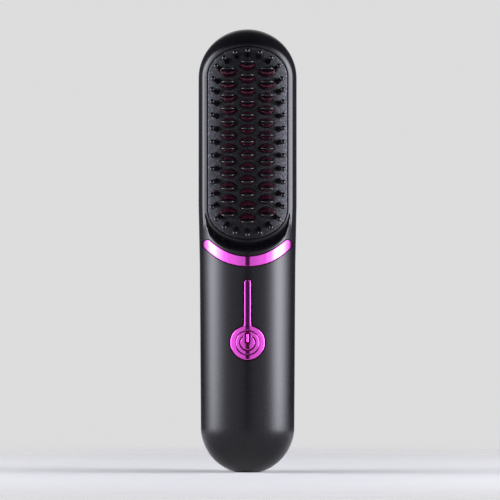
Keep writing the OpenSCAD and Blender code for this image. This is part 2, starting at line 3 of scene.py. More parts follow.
import bmesh
import bpy
import numpy as np
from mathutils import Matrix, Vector


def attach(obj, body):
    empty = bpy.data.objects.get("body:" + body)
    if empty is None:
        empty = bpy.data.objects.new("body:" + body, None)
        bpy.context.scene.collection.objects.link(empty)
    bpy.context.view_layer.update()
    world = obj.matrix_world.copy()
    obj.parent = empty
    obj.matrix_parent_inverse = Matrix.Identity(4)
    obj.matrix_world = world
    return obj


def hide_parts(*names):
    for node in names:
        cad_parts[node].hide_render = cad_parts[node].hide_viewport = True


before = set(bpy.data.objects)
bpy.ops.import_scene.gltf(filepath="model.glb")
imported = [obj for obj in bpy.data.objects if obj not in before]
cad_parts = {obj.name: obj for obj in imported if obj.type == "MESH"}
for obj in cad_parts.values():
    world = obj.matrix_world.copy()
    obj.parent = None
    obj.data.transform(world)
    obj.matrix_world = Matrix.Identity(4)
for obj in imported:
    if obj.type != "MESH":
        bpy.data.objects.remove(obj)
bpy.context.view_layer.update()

# The part's own measures, in millimetres, as its source has them, but for the stem's top, 0.6 higher.
# W is half a width, T a thickness, R a radius, H a height and a name in Z a level above the foot.
BODY_LEN, HEAD_R, NECK_R, TAIL_R, FOOT_R, WALL = 202.0, 22.4, 21.85, 21.35, 6.0, 1.8
TAIL_Z = math.sqrt(TAIL_R ** 2 - FOOT_R ** 2)
DOME_Z = BODY_LEN - HEAD_R
COMB_Z = DOME_Z - 29.35
NECK_Z, SHOULDER_Z = COMB_Z - 55.65, COMB_Z - 28.25
FACE_R, FACE_FRONT = 35.0, 15.9
FACE_Y = FACE_R - FACE_FRONT
SCOOP_R, SCOOP_Z, SCOOP_Y = 24.0, COMB_Z - 29.05, -33.5
COMB_W, COMB_LEN, END_RISE, COMB_T = 18.1, 44.1, 13.75, 3.0
FIN_PITCH, FIN_ROWS, COLUMN_GAP = 5.74, 13, 8.65
FIN_W, FIN_T, FIN_H, CAP_H = 3.75, 2.1, 5.4, 3.4
FIN_NECK, CAP_W, CAP_TIP = 1.0, 3.4, 0.75
FAN, COLUMN_LEAN = 0.385, 2.0
PIN_OVAL, PIN_OVAL_Z, PIN_H, BALL_R = (16.2, 13.6), 28.5, 7.8, 1.12
BUTTON_Z, BUTTON_R, RING_R, HOLE_R = 59.3, 5.3, 8.05, 5.5
STEM_W, STEM_TOP = 1.72, 88.2
PROUD = 0.2
ARC_END, ARC_END_Z, ARC_END_R, ARC_TILT = 18.36, COMB_Z - 46.55, 2.0, math.radians(39.6)
ARC_LOW, ARC_HIGH = COMB_Z - 56.25, COMB_Z - 51.95
PORT_W, PORT_T = 4.47 + 0.25, 1.63 + 0.25
SINKS = [(s * x, z) for x, z in ((11.5, 11.5), (14.4, COMB_Z - 53.25)) for s in (-1, 1)]

# What follows is the scene's own.
# Upper edge of the hollow under the comb: how far it sags in the middle beside the comb, how far it
# lifts at the body's surface, and how much more it lifts at the sides
SAG, SAG_WIDTH = 0.9, 8.5
LIFT, SIDE_LIFT, SIDE_START, SIDE_RUN = 1.5, 1.3, 16.8, 1.6
HOLLOW_SOFT, HOLLOW_END_Z = 0.8, COMB_Z - 60
# Rounding of the casing's ridge beside the comb, which grows below a level
RIDGE_SOFT, RIDGE_GROWTH, RIDGE_GROWTH_Z, RIDGE_GROWTH_RUN = 0.95, 0.85, 120, 8
# How much shorter and flatter the comb's upper end is than its lower end
TOP_SHORTER, TOP_FLATTER = 0.4, 0.5
# Bends of the arc trim's lower and upper edges and its lean, each a factor and a power of x
ARC_LOW_BEND, ARC_HIGH_BEND, ARC_LEAN = (0.01018, 2.25), (0.02045, 2.05), (0.0323, 1.15)
STEM_FILLET = 1.1
# Trims: thickness of the bright face, and depth, thickness and reach under the face of the dark rim
TRIM_T, RIM_SUNK, RIM_T, RIM_UNDER = 0.85, 0.3, 0.3, 0.35
# Thickness of the dressed shells, room round the comb in its opening, and inset of the plate's edge
SKIN_T = WALL - 0.2
COMB_ROOM, PLATE_IN = 0.45, 0.32
# Gap round a fin in its slot, along its width and its thickness
SLOT_W, SLOT_T = 0.27, 0.24
# Pins: radius at the root and its loss up to the ball, flare at the root and radius under the ball;
# place of the foot as a share of the tip's; pitch and crowding along the sides, degrees from pin to pin
# round the ends, and pins on each half side and each half end
PIN_ROOT_R, PIN_TAPER, PIN_FLARE, PIN_NECK_R = 1.33, 0.42, 0.15, 0.97
PIN_FOOT_X, PIN_FOOT_Z = 0.883, 0.965
PIN_PITCH, PIN_CROWDING, PIN_STEP, SIDE_PINS, END_PINS = 6.2, 0.0019, 20.5, 5, 3
# A bare fin's sections, as (height, half width, half thickness), up to the ledge under the cap
FIN_SECTIONS = [(-3.4, FIN_W, FIN_T), (0.0, FIN_W, FIN_T), (0.9, 3.72, 1.98), (2.4, 3.66, 1.82),
                (3.6, 3.6, 1.67), (3.8, 3.58, 1.6), (3.88, 3.54, 1.5), (3.95, 3.48, 1.22),
                (4.05, 3.47, 1.14), (FIN_H - 0.06, 3.46, 1.03), (FIN_H, 3.36, 0.95)]
# Slab that carries the fins: half width, half length, level of its back and gap behind the plate
SLAB_W, SLAB_LEN, SLAB_BACK, SLAB_GAP = 12, 38.5, -8.0, 0.3
# The seam's groove, as (column next to the seam, depth)
SEAM_GROOVE = [(0, 0.2), (1, 0.05), (-1, 0.2), (-2, 0.05)]


# Forms

def smooth_max(a, b, k):
    """The larger of a and b, with the change from one to the other rounded over k."""
    h = np.clip(k - np.abs(a - b), 0, None) / k
    return np.maximum(a, b) + h * h * k / 4


def smooth_min(a, b, k):
    """The smaller of a and b, rounded in the same way."""
    return -smooth_max(-a, -b, k)


def body_radius(z):
    """Radius of the body at a level between the tail and the dome."""
    return np.interp(z, [TAIL_Z, NECK_Z, SHOULDER_Z, DOME_Z], [TAIL_R, NECK_R, HEAD_R, HEAD_R])


def body_sdf(x, y, z):
    """Distance outside the plain round body."""
    r = np.hypot(x, y)
    low = np.hypot(r, z - TAIL_Z) - TAIL_R
    top = np.hypot(r, z - DOME_Z) - HEAD_R
    mid = r - body_radius(z)
    return np.where(z < TAIL_Z, low, np.where(z > DOME_Z, top, mid))


def shell_sdf(x, y, z):
    """Distance outside the casing, with the comb face and its hollow cut and the edges rounded."""
    body = body_sdf(x, y, z)
    face = np.hypot(x, y - FACE_Y) - FACE_R
    inner, outer = face_y(np.clip(x, -20, 20)), -np.sqrt(np.clip(NECK_R ** 2 - x * x, 9, None))
    part = np.clip((y - inner) / (outer - inner), 0, 1.3)
    lift = LIFT + SIDE_LIFT * np.clip((np.abs(x) - SIDE_START) / SIDE_RUN, 0, 1)
    flat = z + SAG * np.exp(-(x / SAG_WIDTH) ** 2) * (1 - part) - lift * part
    hollow = np.where(flat < SCOOP_Z, np.hypot(y - SCOOP_Y, flat - SCOOP_Z) - SCOOP_R,
                      y - (SCOOP_Y + SCOOP_R))
    cut = smooth_min(face, -hollow, HOLLOW_SOFT)
    cut = np.where((y < 0) & (z > HOLLOW_END_Z), cut, -9.0)
    soft = RIDGE_SOFT + RIDGE_GROWTH * np.clip((RIDGE_GROWTH_Z - z) / RIDGE_GROWTH_RUN, 0, 1)
    return smooth_max(body, cut, soft)


def solve(inside, outside, value):
    """The point between inside and outside where value changes sign."""
    lo, hi = inside, outside
    for _ in range(34):
        mid = (lo + hi) / 2
        out = value(mid) > 0
        hi = np.where(out, mid, hi)
        lo = np.where(out, lo, mid)
    return (lo + hi) / 2


def front_point(x, z, form=shell_sdf):
    """Point on the front of a form, seen at x, z."""
    y = solve(np.full_like(x, -4.0), np.full_like(x, -26.0), lambda v: form(x, v, z))
    return np.stack([x, y, z], -1)


def back_point(x, z):
    """Point on the back of the body, seen at x, z."""
    y = np.sqrt(np.clip(body_radius(z) ** 2 - x ** 2, 0, None))
    low = TAIL_R ** 2 - x ** 2 - (z - TAIL_Z) ** 2
    y = np.where(z < TAIL_Z, np.sqrt(np.clip(low, 0, None)), y)
    return np.stack([x, y, z], -1)


def face_y(x):
    """Place of the comb face at x."""
    return FACE_Y - np.sqrt(FACE_R ** 2 - x ** 2)


def oval_sdf(x, z, w, rise):
    """Distance outside an upright oval with straight sides and elliptical ends."""
    above = z > COMB_Z
    straight = COMB_LEN - END_RISE - TOP_SHORTER * above
    rise = rise - TOP_FLATTER * above
    dz = np.clip(np.abs(z - COMB_Z) - straight, 0, None)
    rho = np.sqrt((x / w) ** 2 + (dz / rise) ** 2)
    slope = np.sqrt((x / w ** 2) ** 2 + (dz / rise ** 2) ** 2) + 1e-9
    return (rho - 1) * rho / slope


def lens_sdf(x, z, w, t):
    """Distance outside a pointed oval 2w by 2t."""
    r = (w * w + t * t) / (2 * t)
    return np.maximum(np.hypot(x, z - (r - t)), np.hypot(x, z + (r - t))) - r


def arc_sdf(x, z):
    """Distance outside the curved trim's bright face."""
    ax = np.abs(x)
    low = ARC_LOW + ARC_LOW_BEND[0] * ax ** ARC_LOW_BEND[1]
    high = ARC_HIGH + ARC_HIGH_BEND[0] * ax ** ARC_HIGH_BEND[1]
    lean = 1 / np.sqrt(1 + (ARC_LEAN[0] * ax ** ARC_LEAN[1]) ** 2)
    band = np.maximum(np.maximum(low - z, z - high) * lean,
                      (ax - ARC_END) * math.cos(ARC_TILT) + (z - ARC_END_Z) * math.sin(ARC_TILT))
    return np.minimum(band, np.hypot(ax - ARC_END, z - ARC_END_Z) - ARC_END_R)


def keyhole_sdf(x, z):
    """Distance outside the ring and stem, with a fillet where they meet."""
    ring = np.hypot(x, z - BUTTON_Z) - RING_R
    top = STEM_TOP - STEM_W
    stem = np.where(z > top, np.hypot(x, z - top), np.abs(x)) - STEM_W
    stem = np.maximum(stem, BUTTON_Z - z)
    return smooth_min(ring, stem, STEM_FILLET)


def sdf_normal(points, form):
    """Direction straight out of a form at some points."""
    e = 0.01
    x, y, z = points[..., 0], points[..., 1], points[..., 2]
    g = np.stack([form(x + e, y, z) - form(x - e, y, z),
                  form(x, y + e, z) - form(x, y - e, z),
                  form(x, y, z + e) - form(x, y, z - e)], -1)
    return g / (np.linalg.norm(g, axis=-1, keepdims=True) + 1e-12)


# Mesh building

def make_object(name, verts, faces, material, smooth_angle=38.0, merge=True):
    """An object from points in millimetres; merge joins the points that lie together."""
    mesh = bpy.data.meshes.new(name)
    mesh.from_pydata([tuple(v) for v in np.asarray(verts) * 0.001], [], faces)
    if merge:
        bm = bmesh.new()
        bm.from_mesh(mesh)
        bmesh.ops.remove_doubles(bm, verts=bm.verts, dist=2e-6)
        bmesh.ops.dissolve_degenerate(bm, edges=bm.edges, dist=1e-7)
        bmesh.ops.recalc_face_normals(bm, faces=bm.faces)
        bm.to_mesh(mesh)
        bm.free()
    mesh.shade_smooth()
    mesh.set_sharp_from_angle(angle=math.radians(smooth_angle))
    mesh.materials.append(material)
    obj = bpy.data.objects.new(name, mesh)
    bpy.context.scene.collection.objects.link(obj)
    return obj


class Build:
    """Collects vertices and faces of one piece."""

    def __init__(self):
        self.verts, self.faces, self.count = [], [], 0

    def add(self, points):
        points = np.asarray(points, float).reshape(-1, 3)
        start = self.count
        self.verts.append(points)
        self.count += len(points)
        return np.arange(start, self.count)

    def face(self, *ids):
        self.faces.append(tuple(int(i) for i in ids))

    def grid(self, points, close_u=False):
        """A sheet of quads over points[rows, cols, 3]; close_u joins the last column to the first."""
        rows, cols = points.shape[:2]
        ids = self.add(points).reshape(rows, cols)
        span = cols if close_u else cols - 1
        for i in range(rows - 1):
            for j in range(span):
                k = (j + 1) % cols
                self.face(ids[i, j], ids[i, k], ids[i + 1, k], ids[i + 1, j])
        return ids

    def fan(self, ring, point):
        """Closes a ring of points with triangles to one point."""
        tip = self.add([point])[0]
        for i in range(len(ring)):
            self.face(ring[i], ring[(i + 1) % len(ring)], tip)

    def make(self, name, material, **options):
        return make_object(name, np.concatenate(self.verts), self.faces, material, **options)


def cut_sheet(build, points, plan, place, holes, inner):
    """Adds a thick sheet whose outside is points[rows, cols, 3].

    plan is the sheet's (x, z) as seen from the front, and place gives the outer point at an (x, z).
    Each hole is (f, rings): f(x, z) is below zero inside the hole, and rings are (reach, depth) or
    (reach, None, y) steps that lead from the hole's edge down its wall. inner gives the inside point
    of an outer one."""
    P, (X, Z) = points.copy(), (plan[0].copy(), plan[1].copy())
    rows, cols = X.shape
    owner = np.full((rows, cols), -1)
    gone = np.zeros((rows, cols), bool)
    for k, (f, rings) in enumerate(holes):
        F = f(X, Z)
        near = np.zeros_like(gone)
        for a, b in (((slice(0, -1), slice(None)), (slice(1, None), slice(None))),
                     ((slice(None), slice(0, -1)), (slice(None), slice(1, None)))):
            cross = F[a] * F[b] < 0
            first = cross & (np.abs(F[a]) <= np.abs(F[b]))
            near[a] |= first
            near[b] |= cross & ~first
        near &= owner < 0
        x, z = X[near], Z[near]
        for _ in range(8):
            value, gx, gz = with_slope(f, x, z)
            step = value / (gx * gx + gz * gz + 1e-9)
            x, z = x - step * gx, z - step * gz
        X[near], Z[near] = x, z
        P[near] = place(x, z)
        owner[near] = k
        gone |= (F < 0) & ~near
    ids = build.add(P).reshape(rows, cols)
    outer = []
    for i in range(rows - 1):
        corner = [(i, 0), (i, 1), (i + 1, 1), (i + 1, 0)]
        for j in range(cols - 1):
            quad = [(r, c + j) for r, c in corner]
            kept = [q for q in quad if not gone[q]]
            if len(kept) < 3:
                continue
            owned = [owner[q] for q in kept if owner[q] >= 0]
            if len(owned) >= 3:
                mx = np.mean([X[q] for q in kept])
                mz = np.mean([Z[q] for q in kept])
                if min(holes[k][0](mx, mz) for k in set(owned)) < 0:
                    continue
            outer.append(tuple(kept))
    inside = build.add(inner(P)).reshape(rows, cols)
    edges = {}
    for poly in outer:
        build.face(*[ids[q] for q in poly])
        build.face(*[inside[q] for q in reversed(poly)])
        for a, b in zip(poly, poly[1:] + poly[:1]):
            edges[(a, b)] = edges.get((a, b), 0) + 1
    border = [(a, b) for a, b in edges if (b, a) not in edges]
    chains = {}

    def chain(q, k):
        if (q, k) not in chains:
            f, rings = holes[k]
            x, z = np.array([X[q]]), np.array([Z[q]])
            _, gx, gz = with_slope(f, x, z)
            size = np.hypot(gx, gz)
            line = []
            for ring in rings:
                at = place(x - ring[0] * gx / size, z - ring[0] * gz / size)[0]
                if ring[1] is None:
                    at[1] = ring[2]
                else:
                    at[1] += ring[1]
                line.append(at)
            chains[(q, k)] = [ids[q], *build.add(line), inside[q]]
        return chains[(q, k)]

    for a, b in border:
        if np.linalg.norm(P[a] - P[b]) < 1e-6:
            continue
        if owner[a] >= 0 and owner[a] == owner[b]:
            first, second = chain(a, owner[a]), chain(b, owner[a])
        else:
            first, second = [ids[a], inside[a]], [ids[b], inside[b]]
        for i in range(len(first) - 1):
            build.face(second[i], first[i], first[i + 1], second[i + 1])


def with_slope(f, x, z):
    """f at x, z and its slopes along x and z."""
    e = 1e-3
    return f(x, z), (f(x + e, z) - f(x - e, z)) / (2 * e), (f(x, z + e) - f(x, z - e)) / (2 * e)


def round_edge(r, steps=4, sign=1):
    """Rings of a rounded edge of radius r, as (reach, depth)."""
    angles = [math.radians(90 * i / steps) for i in range(1, steps + 1)]
    return [(r * math.sin(a), sign * r * (1 - math.cos(a))) for a in angles]


def steps(*pieces):
    """Values along (start, stop, step) runs, each run ending where the next begins."""
    values = []
    for start, stop, step in pieces:
        n = max(1, round(abs(stop - start) / step))
        values += list(np.linspace(start, stop, n + 1)[:-1])
    values.append(pieces[-1][1])
    return np.array(values)


def port_reach(theta):
    """Distance from the axis to the charging port's rim, in the direction theta from the front."""
    c, s = np.abs(np.cos(theta)), np.abs(np.sin(theta))
    flat = PORT_T / np.maximum(c, 1e-9)
    off = PORT_W - PORT_T
    rounded = off * s + np.sqrt(np.clip(PORT_T ** 2 - (off * c) ** 2, 0, None))
    return np.where(flat * s <= off, flat, rounded)


# Materials

def new_material(name):
    material = bpy.data.materials.new(name)
    material.use_nodes = True
    nodes, links = material.node_tree.nodes, material.node_tree.links
    shader = nodes["Principled BSDF"]
    where = nodes.new("ShaderNodeTexCoord")
    return material, nodes, links, shader, where


def noise_node(nodes, links, where, scale, detail=2.0, roughness=0.5, stretch=None):
    noise = nodes.new("ShaderNodeTexNoise")
    noise.inputs["Scale"].default_value = scale
    noise.inputs["Detail"].default_value = detail
    noise.inputs["Roughness"].default_value = roughness
    if stretch:
        mapping = nodes.new("ShaderNodeMapping")
        mapping.inputs["Scale"].default_value = stretch
        links.new(where.outputs["Object"], mapping.inputs["Vector"])
        links.new(mapping.outputs["Vector"], noise.inputs["Vector"])
    else:
        links.new(where.outputs["Object"], noise.inputs["Vector"])
    return noise


def ramp_node(nodes, links, source, stops):
    ramp = nodes.new("ShaderNodeValToRGB")
    ramp.color_ramp.elements[0].position = stops[0][0]
    ramp.color_ramp.elements[0].color = (*stops[0][1], 1)
    ramp.color_ramp.elements[1].position = stops[-1][0]
    ramp.color_ramp.elements[1].color = (*stops[-1][1], 1)
    for position, colour in stops[1:-1]:
        ramp.color_ramp.elements.new(position).color = (*colour, 1)
    links.new(source, ramp.inputs["Fac"])
    return ramp


def surface(name, light, dark, rough, grain_scale, bump, metal=0.0, ior=1.45, specular=0.5,
            rough_spread=0.05, detail=2.0, coat=0.0, coat_rough=0.05, stretch=None, sheen=0.0):
    """A material whose colour, roughness and height all vary over the surface."""
    material, nodes, links, shader, where = new_material(name)
    grain = noise_node(nodes, links, where, grain_scale, detail, 0.55, stretch)
    cloud = noise_node(nodes, links, where, grain_scale * 0.06, 3.0)
    tone = nodes.new("ShaderNodeMath")
    tone.operation = "MULTIPLY_ADD"
    tone.inputs[1].default_value = 0.6
    links.new(grain.outputs["Fac"], tone.inputs[0])
    part = nodes.new("ShaderNodeMath")
    part.operation = "MULTIPLY"
    part.inputs[1].default_value = 0.4
    links.new(cloud.outputs["Fac"], part.inputs[0])
    links.new(part.outputs[0], tone.inputs[2])
    colour = ramp_node(nodes, links, tone.outputs[0], [(0.3, dark), (0.7, light)])
    links.new(colour.outputs["Color"], shader.inputs["Base Color"])
    span = nodes.new("ShaderNodeMapRange")
    span.inputs["From Min"].default_value = 0.3
    span.inputs["From Max"].default_value = 0.7
    span.inputs["To Min"].default_value = max(0.02, rough - rough_spread)
    span.inputs["To Max"].default_value = rough + rough_spread
    links.new(tone.outputs[0], span.inputs["Value"])
    links.new(span.outputs["Result"], shader.inputs["Roughness"])
    height = nodes.new("ShaderNodeBump")
    height.inputs["Strength"].default_value = 1.0
    height.inputs["Distance"].default_value = bump * 0.001
    links.new(grain.outputs["Fac"], height.inputs["Height"])
    links.new(height.outputs["Normal"], shader.inputs["Normal"])
    shader.inputs["Metallic"].default_value = metal
    shader.inputs["IOR"].default_value = ior
    shader.inputs["Specular IOR Level"].default_value = specular
    shader.inputs["Coat Weight"].default_value = coat
    shader.inputs["Coat Roughness"].default_value = coat_rough
    shader.inputs["Sheen Weight"].default_value = sheen
    return material


def sparkle(name, base, fleck, rough, ior):
    """Plastic with metal flakes in it, which glint from grain to grain."""
    material, nodes, links, shader, where = new_material(name)
    cells = nodes.new("ShaderNodeTexVoronoi")
    cells.inputs["Scale"].default_value = 2300
    links.new(where.outputs["Object"], cells.inputs["Vector"])
    grain = noise_node(nodes, links, where, 2100, 3.0, 0.6)
    split = nodes.new("ShaderNodeSeparateColor")
    links.new(cells.outputs["Color"], split.inputs["Color"])
    colour = ramp_node(nodes, links, split.outputs["Red"], [(0.0, base), (0.55, base), (1.0, fleck)])
    links.new(colour.outputs["Color"], shader.inputs["Base Color"])
    flake = nodes.new("ShaderNodeMapRange")
    flake.inputs["From Min"].default_value = 0.55
    flake.inputs["From Max"].default_value = 0.75
    links.new(split.outputs["Red"], flake.inputs["Value"])
    links.new(flake.outputs["Result"], shader.inputs["Metallic"])
    span = nodes.new("ShaderNodeMapRange")
    span.inputs["To Min"].default_value = rough - 0.08
    span.inputs["To Max"].default_value = rough + 0.1
    links.new(grain.outputs["Fac"], span.inputs["Value"])
    links.new(span.outputs["Result"], shader.inputs["Roughness"])
    height = nodes.new("ShaderNodeBump")
    height.inputs["Strength"].default_value = 1.0
    height.inputs["Distance"].default_value = 0.0001
    links.new(grain.outputs["Fac"], height.inputs["Height"])
    links.new(height.outputs["Normal"], shader.inputs["Normal"])
    shader.inputs["IOR"].default_value = ior
    return material


SHELL = surface("satin_shell", (0.002, 0.002, 0.0038), (0.0013, 0.0013, 0.0026), 0.28, 2400, 0.003,
                ior=1.42, rough_spread=0.02)
PLATE = sparkle("sparkle_plate", (0.006, 0.006, 0.008), (0.07, 0.07, 0.082), 0.38, 1.35)
PIN_BLACK = surface("pin_black", (0.004, 0.004, 0.005), (0.002, 0.002, 0.0025), 0.11, 1200, 0.001,
                    ior=1.45, rough_spread=0.02)
# painted shade: a dark maroon that stands in for the shade at the bottom of the symbol's sunk lines
RECESS_SHADE = surface("trim_recess_painted_shade", (0.105, 0.0008, 0.036), (0.078, 0.0006, 0.026), 0.5, 1500, 0.004,
                 specular=0.05, rough_spread=0.05)
# painted shade: a still darker copy of the recess colour for the sunk rims round the trims, standing in
# for the shade in their groove
RIM_SHADE = surface("trim_rim_painted_shade", (0.035, 0.0006, 0.016), (0.026, 0.0005, 0.012), 0.5, 1500, 0.004,
                    specular=0.05, rough_spread=0.05)
FIN_RED = surface("coated_fin", (0.12, 0.011, 0.038), (0.06, 0.005, 0.019), 0.26, 1500, 0.004,
                  metal=0.6, rough_spread=0.05, coat=0.8, coat_rough=0.2)
CAP_BLACK = surface("gloss_cap", (0.004, 0.004, 0.005), (0.002, 0.002, 0.0025), 0.17, 1200, 0.002,
                    ior=1.5, rough_spread=0.03)
MAGENTA = surface("plated_trim", (0.93, 0.125, 0.76), (0.9, 0.115, 0.73), 0.08, 900, 0.0006,
                  metal=1.0, rough_spread=0.01)
STEEL = surface("zinc_steel", (0.62, 0.63, 0.66), (0.45, 0.46, 0.48), 0.3, 1800, 0.01, metal=1.0)
BRASS = surface("sheet_brass", (0.75, 0.55, 0.24), (0.6, 0.42, 0.17), 0.3, 900, 0.01, metal=1.0,
                stretch=(1, 1, 0.05))
NICKEL = surface("nickel_strip", (0.7, 0.69, 0.66), (0.55, 0.54, 0.52), 0.32, 900, 0.008, metal=1.0,
                 stretch=(0.05, 1, 1))
CERAMIC = surface("fired_ceramic", (0.78, 0.74, 0.66), (0.66, 0.62, 0.54), 0.6, 2200, 0.03)
MICA = surface("mica_sheet", (0.55, 0.5, 0.4), (0.38, 0.34, 0.27), 0.45, 500, 0.02, detail=5.0)
BOARD = surface("board_mask", (0.02, 0.19, 0.08), (0.01, 0.1, 0.045), 0.35, 700, 0.02, detail=4.0,
                coat=0.4)
CHIP = surface("chip_black", (0.02, 0.02, 0.022), (0.01, 0.01, 0.012), 0.5, 2600, 0.02)
FERRITE = surface("ferrite_grey", (0.13, 0.13, 0.14), (0.08, 0.08, 0.09), 0.65, 2400, 0.03)
NYLON = surface("nylon_white", (0.76, 0.75, 0.71), (0.68, 0.67, 0.63), 0.45, 1600, 0.01, sheen=0.1)
WRAP = surface("cell_wrap", (0.03, 0.14, 0.5), (0.02, 0.1, 0.38), 0.22, 300, 0.01, coat=0.3)
FELT = surface("fibre_felt", (0.82, 0.8, 0.75), (0.62, 0.6, 0.55), 0.95, 1100, 0.25, detail=6.0,
               sheen=0.5)
AMBER = surface("glass_bead", (0.6, 0.3, 0.08), (0.45, 0.2, 0.05), 0.1, 900, 0.005, coat=0.6)
LEAD_RED = surface("lead_red", (0.4, 0.02, 0.02), (0.3, 0.012, 0.012), 0.5, 1500, 0.01, sheen=0.1)
SHIELD = surface("shield_black", (0.03, 0.03, 0.033), (0.018, 0.018, 0.02), 0.6, 1700, 0.04)

# Finish of each inner node
node_finish = {
    "electrode_plates": BRASS, "heating_tiles": CERAMIC, "heater_insulator": MICA,
    "heater_clamp": STEEL, "heater_screws": STEEL, "comb_screws": STEEL, "thermistor": AMBER,
    "thermal_fuse": NYLON, "heat_shield": SHIELD, "insulating_felt": FELT, "tact_switch": CHIP,
    "switch_plunger": NYLON, "main_board": BOARD, "control_chip": CHIP,
    "power_transistors": CHIP, "charge_coil": FERRITE, "wire_connectors": NYLON,
    "status_light": NYLON, "board_screws": STEEL, "battery_cells": WRAP, "cell_strips": NICKEL,
    "protection_board": BOARD, "cell_tray": NYLON, "charge_board": BOARD,
    "charge_socket": STEEL, "shell_screws": STEEL, "heater_leads": LEAD_RED,
    "sensor_lead": NYLON, "battery_leads": LEAD_RED, "charge_leads": LEAD_RED,
}
for node, finish in node_finish.items():
    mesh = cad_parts[node].data
    mesh.materials.clear()
    mesh.materials.append(finish)


# Casing

def shell_grid(angles, rows_z, form):
    """Outer points of a shell over angles from the front, from the port's rim up to the top."""
    theta = np.radians(angles)
    foot_r = solve(np.full(1, 3.0), np.full(1, 9.0), lambda r: form(r * 0, r, np.full(1, 0.0)))[0]
    layers = []
    foot_edge = ((0.35, 0.0), (0.12, 0.06), (0.02, 0.2))
    for t in (0.0, 0.15, 0.5, 0.85):
        r = port_reach(theta) * (1 - t) + (foot_r - foot_edge[0][0]) * t
        layers.append(np.stack([r * np.sin(theta), -r * np.cos(theta), np.zeros_like(r)], -1))
    for inward, z in foot_edge:
        r = np.full_like(theta, foot_r - inward)
        layers.append(np.stack([r * np.sin(theta), -r * np.cos(theta), np.full_like(r, z)], -1))
    for z in rows_z:
        zz = np.full_like(theta, z)
        r = solve(np.zeros_like(theta), np.full_like(theta, 26.0),
                  lambda v: form(v * np.sin(theta), -v * np.cos(theta), zz))
        layers.append(np.stack([r * np.sin(theta), -r * np.cos(theta), zz], -1))
    tip = np.stack([np.sin(theta), -np.cos(theta), theta * 0], -1) * 1e-4
    layers.append(tip + np.array([0, 0, BODY_LEN]))
    return np.array(layers)


def ease_seam(points, edge_columns):
    """Draws the columns next to the seam in a little, which leaves a fine groove between the shells."""
    axis = points.copy()
    axis[..., :2] = 0
    for column, depth in edge_columns:
        out = points[:, column] - axis[:, column]
        size = np.linalg.norm(out, axis=-1, keepdims=True) + 1e-9
        points[:, column] -= out / size * np.minimum(depth, size * 0.5)
    return points


def tail_and_dome(top_rows, tail_rows=26):
    """Levels of the rows round the tail, above the foot's edge, and round the dome."""
    tail = [TAIL_Z - TAIL_R * math.cos(a) for a in np.linspace(0.31, math.pi / 2, tail_rows)]
    tail = [z for z in tail if z > 0.45]
    dome = [DOME_Z + HEAD_R * math.sin(a) for a in np.linspace(0, math.pi / 2, top_rows)[1:-1]]
    return tail, dome


def shell_inner(form):
    """A function that gives a shell's inside points."""
    def inner(points):
        moved = points - sdf_normal(points, form) * SKIN_T
        moved[..., 2] = np.clip(moved[..., 2], 1.5, BODY_LEN - 1.5)
        return moved
    return inner


# Front shell
tail_z, dome_z = tail_and_dome(64)
front_angles = steps((-90, -89.4, 0.3), (-89.4, -76, 1.4), (-76, -46, 0.65), (-46, 46, 1.0),
                     (46, 76, 0.65), (76, 89.4, 1.4), (89.4, 90, 0.3))
mid_rows = steps((TAIL_Z, 50.5, 1.6), (50.5, 68.5, 0.4), (68.5, 86, 1.6), (86, 89.2, 0.4),
                 (89.2, 93, 0.9), (93, 125, 0.3), (125, DOME_Z, 1.2))
front_rows = np.concatenate([tail_z, mid_rows[1:], dome_z])
points = shell_grid(front_angles, front_rows, shell_sdf)
points = ease_seam(points, SEAM_GROOVE)

comb_hole = (lambda x, z: oval_sdf(x, z, COMB_W + COMB_ROOM, END_RISE + COMB_ROOM),
             round_edge(0.15) + [(0.15, SKIN_T)])
ledge = round_edge(0.08, 2) + [(0.08, 0.75), (1.25, 0.75), (1.25, SKIN_T)]
arc_hole = (lambda x, z: arc_sdf(x, z) - 0.5, ledge)
keyhole_hole = (lambda x, z: keyhole_sdf(x, z) - 0.2, ledge)
front = Build()
cut_sheet(front, points, (points[..., 0], points[..., 2]), front_point,
          [comb_hole, arc_hole, keyhole_hole], shell_inner(shell_sdf))
front_shell = front.make("front_shell_skin", SHELL)
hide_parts("front_shell")
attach(front_shell, "body")

# Rear shell
rear_angles = steps((90, 90.6, 0.3), (90.6, 269.4, 1.9), (269.4, 270, 0.3))
mid_rows = steps((TAIL_Z, 92, 1.8), (92, 102, 0.5), (102, DOME_Z, 2.2))
rear_rows = np.concatenate([tail_z, mid_rows[1:], dome_z[1::2]])
points = shell_grid(rear_angles, rear_rows, body_sdf)
points = ease_seam(points, SEAM_GROOVE)
# Each screw hole has a rounded edge, a bore down to the floor under the screw's head, a smaller hole
# through that floor, and the outside of the boss round them
sink_rings = [(r, -d) for r, d in round_edge(0.15, 2)] + [
    (0.15, None, 9.0), (0.95, None, 9.0), (0.95, None, 7.6), (-1.2, None, 7.6), (-1.2, -WALL)]


def round_hole(cx, cz, r):
    return lambda x, z: np.hypot(x - cx, z - cz) - r


sinks = [(round_hole(cx, cz, 2.25), sink_rings) for cx, cz in SINKS]
rear = Build()
cut_sheet(rear, points, (points[..., 0], points[..., 2]), back_point, sinks, shell_inner(body_sdf))
rear_shell = rear.make("rear_shell_skin", SHELL)
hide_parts("rear_shell")
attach(rear_shell, "body")


# Comb

# Places of the fins, as x and the distance above the comb's middle
half_rows = (FIN_ROWS - 1) // 2
fin_places = [(0.0, i * FIN_PITCH) for i in range(-half_rows, half_rows + 1)]
fin_places += [(side * COLUMN_GAP, (i + 0.5) * FIN_PITCH)
               for side in (-1, 1) for i in range(-half_rows, half_rows)]


def turn(points, tilt_x, turn_z):
    """Points turned about X and then about Z, by degrees."""
    a, b = math.radians(tilt_x), math.radians(turn_z)
    x, y, z = points[..., 0], points[..., 1], points[..., 2]
    y, z = y * math.cos(a) - z * math.sin(a), y * math.sin(a) + z * math.cos(a)
    x, y = x * math.cos(b) - y * math.sin(b), x * math.sin(b) + y * math.cos(b)
    return np.stack([x, y, z], -1)


